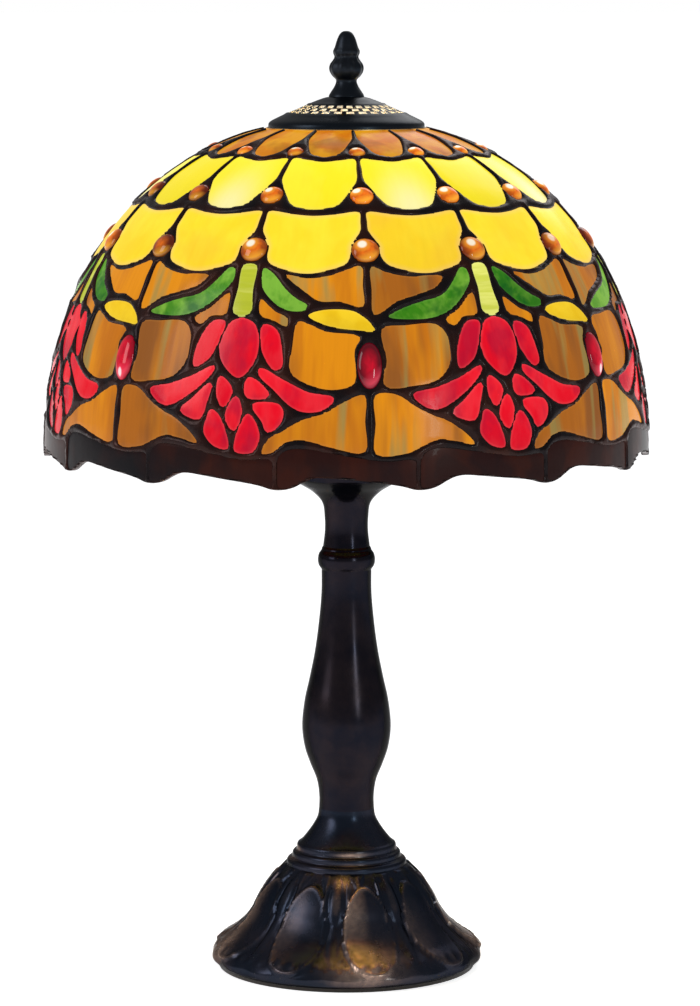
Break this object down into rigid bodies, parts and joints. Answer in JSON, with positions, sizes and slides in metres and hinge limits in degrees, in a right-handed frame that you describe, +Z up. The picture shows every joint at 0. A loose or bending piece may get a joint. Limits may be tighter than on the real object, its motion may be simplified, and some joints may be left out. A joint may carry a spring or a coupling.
{
  "type": "table lamp",
  "caption": "Table lamp with a leaded glass dome of tulips, hung on a harp over one bulb, on a turned column and a flared cast foot.",
  "frame": {"origin": "centre of the foot on the surface it stands on", "axes": "+Z up the column to the finial, -Y to the front with the switch key, +Y to the cord inlet"},
  "size_m": [0.3078, 0.3076, 0.48],
  "materials": {
    "felt": "felt",
    "steel": "zinc plated",
    "bronze": "dark bronze patina with rubbed highlights",
    "iron": "rough cast",
    "black_rubber": "matt",
    "brass": "satin",
    "fibre": "pressed fibre",
    "bakelite": "moulded",
    "cap_metal": "satin",
    "bulb_glass": "frosted",
    "solder": "dark patinated solder",
    "amber_glass": "streaky opalescent",
    "yellow_glass": "opalescent",
    "golden_glass": "opalescent",
    "amber_jewel": "pressed and polished",
    "stem_glass": "opalescent",
    "green_glass": "streaky",
    "red_glass": "cathedral",
    "dark_glass": "nearly opaque"
  },
  "bodies": {
    "stand": {"felt_pad": "felt", "base_plate": "steel", "base_shell": "bronze", "ballast_weight": "iron", "cord_bushing": "black_rubber", "lamp_rod": "steel", "foot_washer": "steel", "foot_nut": "steel", "lower_column": "bronze", "collar_ring": "bronze", "upper_column": "bronze", "cup_nut": "steel", "harp_saddle": "brass", "holder_cap": "brass", "holder_shell": "brass", "holder_liner": "fibre", "holder_body": "bakelite", "screw_shell": "cap_metal", "centre_contact": "brass"},
    "switch_key": {"switch_key": "bakelite"},
    "bulb": {"bulb_glass": "bulb_glass", "bulb_cap": "cap_metal", "bulb_contact": "cap_metal"},
    "harp": {"harp": "brass", "harp_stud": "brass"},
    "left_sleeve": {"left_sleeve": "brass"},
    "right_sleeve": {"right_sleeve": "brass"},
    "shade": {"top_ring": "brass", "spider": "brass", "lead_came": "solder", "reinforcing_wire": "solder", "crown_panes": "amber_glass", "upper_yellow_panes": "yellow_glass", "lower_yellow_panes": "golden_glass", "crown_jewels": "amber_jewel", "upper_jewels": "amber_jewel", "lower_jewels": "amber_jewel", "amber_upper_panes": "amber_glass", "amber_middle_panes": "amber_glass", "amber_lower_panes": "amber_glass", "amber_slivers": "amber_glass", "stems": "stem_glass", "long_leaves": "green_glass", "short_leaves": "green_glass", "leaf_tips": "yellow_glass", "tulip_petals": "red_glass", "oval_cabochons": "red_glass", "rim_panes": "dark_glass"},
    "heat_cap": {"heat_cap": "bronze"},
    "finial": {"finial": "bronze"}
  },
  "joints": [
    {"name": "key_turn", "type": "hinge", "parent": "stand", "child": "switch_key", "pos_m": [0, -0.02, 0.282], "axis": [0, -1, 0], "continuous": true},
    {"name": "bulb_lift", "type": "slide", "parent": "stand", "child": "bulb", "axis": [0, 0, 1], "range_m": [0, 0.012]},
    {"name": "harp_lift", "type": "slide", "parent": "stand", "child": "harp", "axis": [0, 0, 1], "range_m": [0, 0.03]},
    {"name": "left_sleeve_lift", "type": "slide", "parent": "harp", "child": "left_sleeve", "axis": [0, 0, 1], "range_m": [0, 0.011]},
    {"name": "right_sleeve_lift", "type": "slide", "parent": "harp", "child": "right_sleeve", "axis": [0, 0, 1], "range_m": [0, 0.011]},
    {"name": "shade_lift", "type": "slide", "parent": "harp", "child": "shade", "axis": [0, 0, 1], "range_m": [0, 0.19]},
    {"name": "cap_lift", "type": "slide", "parent": "shade", "child": "heat_cap", "axis": [0, 0, 1], "range_m": [0, 0.04]},
    {"name": "finial_turn", "type": "hinge", "parent": "heat_cap", "child": "finial", "pos_m": [0, 0, 0.45], "axis": [0, 0, 1], "continuous": true}
  ]
}
